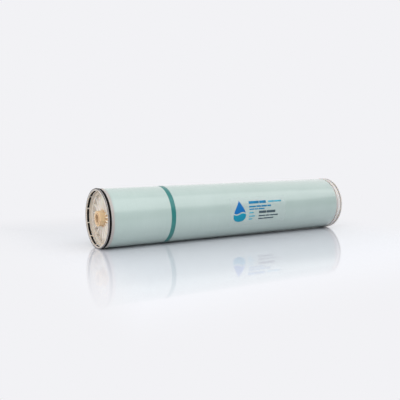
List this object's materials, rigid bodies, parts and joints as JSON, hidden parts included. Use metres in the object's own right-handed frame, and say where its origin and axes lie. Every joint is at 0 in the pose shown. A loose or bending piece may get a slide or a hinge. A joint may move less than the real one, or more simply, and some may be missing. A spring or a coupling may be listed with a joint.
{
  "type": "nanofiltration membrane element",
  "caption": "Spiral-wound nanofiltration element: membrane leaves rolled on a perforated tube, in a fibreglass wrap with ribbed end caps and a brine seal.",
  "frame": {"origin": "centre of the brine end cap's outer face, on which the element stands", "axes": "+Z along the element's axis from the brine end to the feed end, -Y through the label film"},
  "size_m": [0.2032, 0.2032, 1.016],
  "materials": {
    "fibreglass": "filament-wound glass and epoxy, satin gloss",
    "end_cap_plastic": "injection-moulded, slightly translucent cream",
    "tube_plastic": "extruded and reamed tan plastic",
    "seal_rubber": "moulded black rubber",
    "membrane": "cast membrane on white polyester backing",
    "spacer_net": "extruded diamond netting",
    "label_plastic": "clear printed film",
    "tape_plastic": "teal plastic tape"
  },
  "bodies": {
    "root": {"feed_end_cap": "end_cap_plastic", "brine_end_cap": "end_cap_plastic", "brine_seal": "seal_rubber", "permeate_tube": "tube_plastic", "fibreglass_wrap": "fibreglass", "label_film": "label_plastic", "tape_band": "tape_plastic", "membrane_leaf_01": "membrane", "membrane_leaf_02": "membrane", "membrane_leaf_03": "membrane", "membrane_leaf_04": "membrane", "membrane_leaf_05": "membrane", "feed_spacer_01": "spacer_net", "feed_spacer_02": "spacer_net", "feed_spacer_03": "spacer_net", "feed_spacer_04": "spacer_net", "feed_spacer_05": "spacer_net"}
  },
  "joints": []
}
